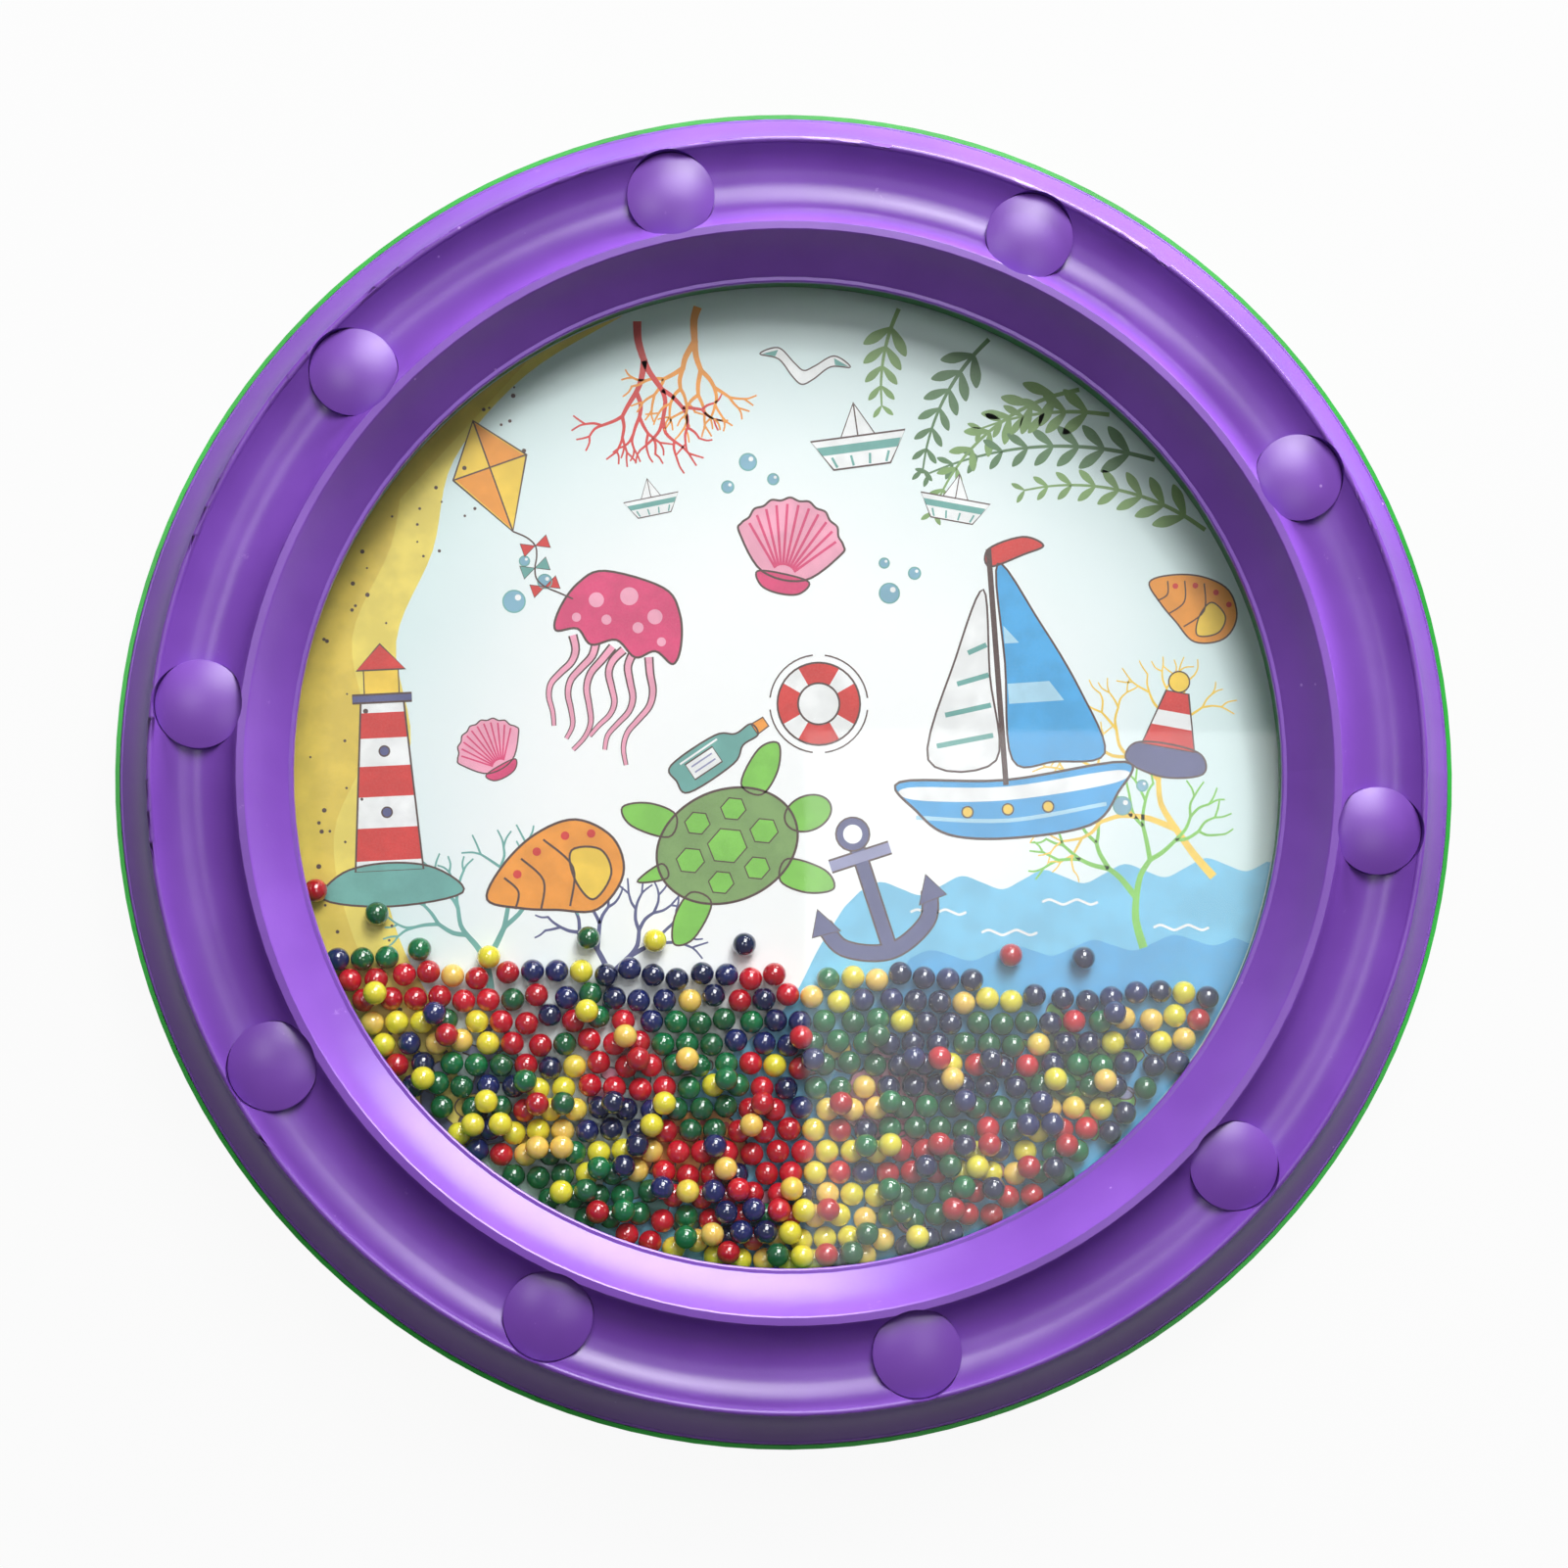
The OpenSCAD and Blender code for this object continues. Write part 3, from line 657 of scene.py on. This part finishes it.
def whelk(art):
    outline = smooth([(-13, 1), (-8, 5.5), (0, 8.5), (8, 8), (13, 2), (12, -5), (5, -9), (-2, -6),
                      (-8, -3)])
    art.patch(outline, "orange", 2)
    art.line(outline, closed=True, width=0.45)
    for x, half, lean in ((-8.5, 3.4, 1.4), (-4.2, 5.4, 2.2), (1, 7, 3)):
        whorl = smooth([(x, half), (x + lean, 0), (x - 0.4, -half + 0.6)], closed=False)
        art.line(whorl, "outline", 4, 0.4)
    art.shape([(5, 3), (10, 1), (10, -4), (5, -7), (3.4, -2)], "yellow", layer=3)
    for x, y in ((-6, 3), (-1, 5.4), (5, 6), (9.6, 4.4)):
        art.dot(x, y, 0.8, "red", 3)


def anchor(art):
    art.line([(0, -13), (0, 9)], "outline", 2, 3.4)
    art.line([(0, -13), (0, 9)], "navy", 3, 2.6)
    art.line([(-6.5, 6.4), (6.5, 6.4)], "outline", 2, 3.0)
    art.line([(-6.5, 6.4), (6.5, 6.4)], "lilac", 4, 2.2)
    arms = smooth([(-11.5, -4.6), (-9, -10.5), (0, -14), (9, -10.5), (11.5, -4.6)], closed=False)
    art.line(arms, "outline", 2, 3.7)
    art.line(arms, "navy", 3, 2.9)
    for side in (-1, 1):
        fluke = [(side * 11.8, -1.2), (side * 14.6, -6.4), (side * 8.6, -6.8)]
        art.shape(fluke, "navy", layer=3, rounded=False)
    art.line(arc(0, 11.4, 2.7, count=18)[:-1], "navy", 3, 1.4, closed=True)
    art.line(arc(0, 11.4, 3.5, count=18)[:-1], closed=True, width=0.35)


def lifebuoy(art):
    outer, inner = 9.6, 4.8
    art.patch(arc(0, 0, outer, count=36)[:-1], "red", 2)
    for turn in range(0, 360, 90):
        art.patch(arc(0, 0, outer, start=turn + 30, end=turn + 60, count=6)
                  + arc(0, 0, 4.4, start=turn + 60, end=turn + 30, count=6), "white", 3)
    art.dot(0, 0, inner, "white", 4)
    for radius in (outer, inner):
        art.line(arc(0, 0, radius, count=40)[:-1], closed=True, width=0.45)
    for turn in range(45, 360, 90):
        art.line(arc(0, 0, 11.4, start=turn - 38, end=turn + 38, count=10), "outline", 4, 0.35)


def lighthouse(art):
    art.shape([(-13, -26), (-9, -21), (0, -19.5), (9, -21), (14, -26), (0, -28)], "teal", layer=3)
    art.shape([(-6.6, -21), (-4.2, 12), (4.2, 12), (6.6, -21)], "white", rounded=False)
    for low, high in ((-19, -12.6), (-6.5, -0.5), (5, 10)):
        wide = [6.6 - (y + 21) * 0.0727 for y in (low, high)]
        art.patch([(-wide[0], low), (wide[0], low), (wide[1], high), (-wide[1], high)], "red", 3)
    art.shape([(-5.8, 12), (5.8, 12), (5.8, 13.6), (-5.8, 13.6)], "navy", layer=3, rounded=False)
    lamp_room = [(-3.4, 13.6), (3.4, 13.6), (3.4, 18.4), (-3.4, 18.4)]
    art.shape(lamp_room, "yellow", layer=3, rounded=False)
    art.shape([(-4.8, 18.4), (4.8, 18.4), (0, 23.5)], "red", layer=3, rounded=False)
    for y in (-9.6, 2.4):
        art.dot(0, y, 1.0, "navy", 4, outlined=True)


def kite(art):
    art.shape([(0, 14), (8.5, 3), (0, -12), (-8.5, 3)], "yellow", rounded=False, width=0.45)
    art.patch([(0, 13.6), (8, 3), (0, 3)], "orange", 3)
    art.patch([(0, -11.4), (-8, 3), (0, 3)], "orange", 3)
    for ends in (((0, 14), (0, -12)), ((-8.5, 3), (8.5, 3))):
        art.line(list(ends), "outline", 4, 0.35)
    tail = [(math.sin(i * 0.9) * 2.2 + i * 0.7, -12 - i * 2.3) for i in range(9)]
    art.line(smooth(tail, closed=False, steps=4), "outline", 4, 0.35)
    for i, bow in ((2, "red"), (4, "teal"), (6, "red")):
        x, y = tail[i]
        for side in (-1, 1):
            loop = [(x, y), (x + side * 3, y + 1.5), (x + side * 3, y - 1.5)]
            art.shape(loop, bow, layer=3, width=0.25, rounded=False)


def gull(art):
    wings = [(-13, 3.5), (-8, 6), (-3, 2.4), (0, 0.6), (3, 2.4), (8, 6), (13, 3.5), (7.5, 2.8),
             (3, -1.5), (0, -3.4), (-3, -1.5), (-7.5, 2.8)]
    art.shape(wings, "white", width=0.4)
    for side in (-1, 1):
        art.patch([(side * 12.4, 3.6), (side * 8, 5.4), (side * 8.6, 3.4)], "teal", 3)


def paper_boat(art):
    art.shape([(-10, 1.5), (10, 1.5), (6, -5), (-6, -5)], "white", rounded=False)
    art.shape([(-3.6, 1.5), (0, 8.5), (3.6, 1.5)], "white", rounded=False)
    art.patch([(-8.9, 0), (8.9, 0), (7.9, -1.8), (-7.9, -1.8)], "teal", 3)
    for x in (-6, -2, 2, 6):
        art.line([(x, -2.4), (x * 0.86, -4.6)], "teal", 3, 0.5)
    art.line([(0, 8.2), (0, 1.5)], "outline", 4, 0.3)


def bottle(art):
    glass = [(-11, 4), (-12, 0), (-11, -4), (2, -4.2), (6.5, -1.7), (11, -1.6), (11, 1.6),
             (6.5, 1.7), (2, 4.2)]
    art.shape(glass, "teal", width=0.45)
    art.shape([(11, 1.5), (14.4, 1.3), (14.4, -1.3), (11, -1.5)], "orange", layer=3, rounded=False)
    art.shape([(-8, 2.2), (0, 2.2), (0, -2.2), (-8, -2.2)], "white", layer=3, rounded=False)
    for y in (0.9, -0.7):
        art.line([(-7, y), (-1, y)], "lilac", 4, 0.4)
    art.line([(-9, 3), (2, 3.1)], "white", 4, 0.5)


def buoy(art):
    art.shape([(-7, -5), (-8, -9), (0, -11), (8, -9), (7, -5), (0, -4)], "navy")
    art.shape([(-5.6, -4.8), (-2.4, 7), (2.4, 7), (5.6, -4.8)], "red", rounded=False)
    art.patch([(-4.4, -0.4), (4.4, -0.4), (3.6, 2.8), (-3.6, 2.8)], "white", 3)
    art.dot(0, 9.2, 2.2, "yellow", 3, outlined=True)


def bubbles(art, spots):
    for x, y, r in spots:
        art.dot(x, y, r, "bubble", 2)
        art.line(arc(x, y, r, count=18)[:-1], "teal", 3, 0.25, closed=True)
        art.dot(x + r * 0.35, y + r * 0.35, r * 0.28, "white", 4)


def pebbles(art, chance):
    for _ in range(PEBBLES):
        x = chance.uniform(-74, 74)
        y = chance.uniform(-90, -52)
        radius = chance.uniform(1.4, 3.6)
        if math.hypot(x, y) < 91:
            start = chance.uniform(0, 90)
            stone = arc(x, y, radius, radius * 0.7, start, end=360, count=9)[:-1]
            ink = PEBBLE_INKS[int(chance.uniform(0, len(PEBBLE_INKS)))]
            art.shape(stone, ink, layer=3, width=0.3)


# Where each frond grows: x, y, turn, length, bend, pairs of leaves and ink
FRONDS = (
    (83, 49, 56, 38, 50, 8, "leaf"), (73, 63, 76, 46, 40, 9, "dark leaf"),
    (58, 77, 104, 40, 60, 8, "leaf"), (40, 87, 136, 30, 40, 7, "dark leaf"),
    (64, 72, 84, 26, 30, 6, "leaf"), (22, 93, 158, 20, 30, 5, "leaf"),
)
# Each coral: x, y, turn, length of the first twig, ink, seed of its draws and forks
CORALS = (
    (-30, 90, -80, 8, "red", 3, 6), (-18, 93, -95, 7, "orange", 8, 6),
    (-58, -46, 96, 9, "teal", 5, 6), (-36, -48, 80, 8, "navy", 12, 6),
    (84, -20, 128, 12, "yellow", 9, 7), (70, -34, 98, 10, "lime", 21, 6),
)
# Each motif: what draws it, x, y, turn and size
MOTIFS = (
    (sailboat, 42, 12, 4, 1.0), (jellyfish, -34, 26, -16, 1.0), (turtle, -12, -14, 22, 0.95),
    (scallop, 0, 44, -12, 0.95), (whelk, -46, -20, 24, 1.05), (anchor, 16, -22, 18, 0.95),
    (lifebuoy, 6, 14, 0, 0.85), (lighthouse, -79, 2, 3, 1.0), (kite, -58, 58, 20, 0.9),
    (gull, 3, 80, -8, 0.7), (paper_boat, 14, 66, 8, 0.95), (paper_boat, 33, 54, -10, 0.7),
    (paper_boat, -27, 54, 12, 0.55), (bottle, -14, 4, 34, 0.8), (buoy, 76, 10, -10, 0.95),
    (whelk, 80, 34, -24, 0.72), (scallop, -58, 4, 30, 0.6), (anchor, -60, -60, -20, 0.8),
    (scallop, 20, -66, 15, 0.9), (whelk, -20, -74, 10, 0.9), (turtle, 56, -58, -30, 0.6),
)
# Each bubble: x, y and radius
BUBBLES = (
    (-8, 62, 1.7), (-3, 58.6, 1.1), (-12, 57, 1.2), (-54, 34, 2.2), (-48, 38, 1.4),
    (-52, 42, 1.0), (20, 36, 2.0), (25, 40, 1.2), (19, 42, 1.0), (66, -6, 1.8), (70, -2, 1.1),
)


def make_picture():
    art = Picture()
    beach(art)
    water(art)
    for x, y, turn, length, bend, leaves, ink in FRONDS:
        frond(art.at(x, y, turn), length, bend, leaves, ink)
    for x, y, turn, length, ink, seed, forks in CORALS:
        twigs(art.at(x, y), 0, 0, turn, length, CORAL_WIDTH, ink, 1, random.Random(seed), forks)
    for draw, x, y, turn, size in MOTIFS:
        draw(art.at(x, y, turn, size))
    bubbles(art.at(0, 0), BUBBLES)
    pebbles(art, random.Random(7))
    art.finished()


# Room, camera and light

# Picture sizes in pixels, the camera's in millimetres
PHOTO_SIDE = 1601
DRUM_CENTRE_PX = (806.1, 789.0)
FOCAL_PX = 2882
SENSOR = 36
NEAREST_SHOWN = 10 * MM
MID_HEIGHT = (cad_box[0][2] + cad_box[1][2]) / 2
EYE = Vector((-22.8, -37.0, 548.3)) * MM


def look(thing, at, target, up=(0, 1, 0)):
    """Sets a camera or lamp at a point, turned to the target."""
    back = (Vector(at) - Vector(target)).normalized()
    right = Vector(up).cross(back).normalized()
    over = back.cross(right)
    turn = Matrix((right, over, back)).transposed().to_4x4()
    thing.matrix_world = Matrix.Translation(at) @ turn


def make_camera():
    camera = bpy.data.objects.new("camera", bpy.data.cameras.new("camera"))
    bpy.context.scene.collection.objects.link(camera)
    camera.data.sensor_width = SENSOR
    camera.data.lens = FOCAL_PX / PHOTO_SIDE * SENSOR
    camera.data.clip_start = NEAREST_SHOWN
    eye = EYE + Vector((0, 0, MID_HEIGHT))
    metres_per_px = EYE.z / FOCAL_PX
    aim = Vector(((PHOTO_SIDE / 2 - DRUM_CENTRE_PX[0]) * metres_per_px,
                  (DRUM_CENTRE_PX[1] - PHOTO_SIDE / 2) * metres_per_px, MID_HEIGHT))
    look(camera, eye, aim)
    bpy.context.scene.camera = camera
    bpy.context.scene.view_settings.view_transform = "Standard"


# How white the backdrop shows in the picture, and the share of that which mirrors show
BACKDROP_WHITE = 0.94
BACKDROP_IN_MIRRORS = 0.15
FLOOR_GREY = (0.45, 0.45, 0.45, 1)
FLOOR_HALF = 6.0
FLOOR_GAP = 0.2 * MM
ROOM_LIGHT = 0.03


def backdrop(finish, lit, white):
    """White in the picture, also through glass, faint in mirrors, and lit for all the rest."""
    direct, through, reflected = (
        finish.add("ShaderNodeLightPath", output=ray)
        for ray in ("Is Camera Ray", "Is Transmission Ray", "Is Glossy Ray"))
    seen = (direct + through + reflected * BACKDROP_IN_MIRRORS).at_most(1)
    return finish.add("ShaderNodeMixShader", {}, {0: seen * BACKDROP_WHITE, 1: lit, 2: white})


def floor_cloth():
    """Pale floor that shows nearly white, with the drum's shadow."""
    finish = Finish("pale studio floor")
    cloth = finish.add("ShaderNodeBsdfDiffuse", {}, {"Color": FLOOR_GREY})
    paper = finish.add("ShaderNodeEmission", {}, {"Color": WHITE, "Strength": 1.0})
    return finish.done(backdrop(finish, cloth, paper))


def make_floor():
    mesh = bpy.data.meshes.new("floor")
    corners = [(-FLOOR_HALF, -FLOOR_HALF), (FLOOR_HALF, -FLOOR_HALF),
               (FLOOR_HALF, FLOOR_HALF), (-FLOOR_HALF, FLOOR_HALF)]
    mesh.from_pydata([(x, y, -FLOOR_GAP) for x, y in corners], [], [(0, 1, 2, 3)])
    mesh.materials.append(floor_cloth())
    floor = bpy.data.objects.new("floor", mesh)
    bpy.context.scene.collection.objects.link(floor)


def add_lamp(name, at, target, size, power, up=(0, 0, 1)):
    """Lit panel that faces the target. Size is its width and height in metres, power in watts."""
    data = bpy.data.lights.new(name, "AREA")
    data.shape = "RECTANGLE"
    data.size, data.size_y = size
    data.energy = power
    lamp = bpy.data.objects.new(name, data)
    bpy.context.scene.collection.objects.link(lamp)
    look(lamp, at, target, up)


def make_room():
    """Pale walls: faint light on the drum, and as white as the floor in the picture."""
    finish = Finish("pale room", bpy.data.worlds)
    dim = finish.add("ShaderNodeBackground", {}, {"Color": WHITE, "Strength": ROOM_LIGHT})
    pale = finish.add("ShaderNodeBackground", {}, {"Color": WHITE, "Strength": 1.0})
    bpy.context.scene.world = finish.done(backdrop(finish, dim, pale), "ShaderNodeOutputWorld")


def make_light():
    """Softbox, lamp and strip stand behind the top of the picture. The overhead panel shows in
    the window as a pale haze, and the ceiling panel lights what the bevel would shade."""
    centre = (0, 0, MID_HEIGHT)
    add_lamp("tall softbox", at=(0.225, 0.93, 1.13), target=centre, size=(0.75, 1.05), power=22.5)
    add_lamp("small lamp", at=(0.34, 1.0, 1.2), target=centre, size=(0.18, 0.18), power=3.5)
    add_lamp("low strip", at=(0.56, 1.32, 0.17), target=centre, size=(1.5, 0.3), power=50)
    add_lamp("overhead panel", at=(0.23, -0.08, 1.02), target=(0.23, -0.08, 0),
             size=(0.36, 0.34), power=0.95, up=(0, 1, 0))
    add_lamp("ceiling panel", at=(-0.45, 0.25, 1.3), target=centre,
             size=(0.3, 0.4), power=2, up=(0, 1, 0))


def main():
    dress_drum()
    dress_beads()
    make_picture()
    make_camera()
    make_floor()
    make_room()
    make_light()


main()
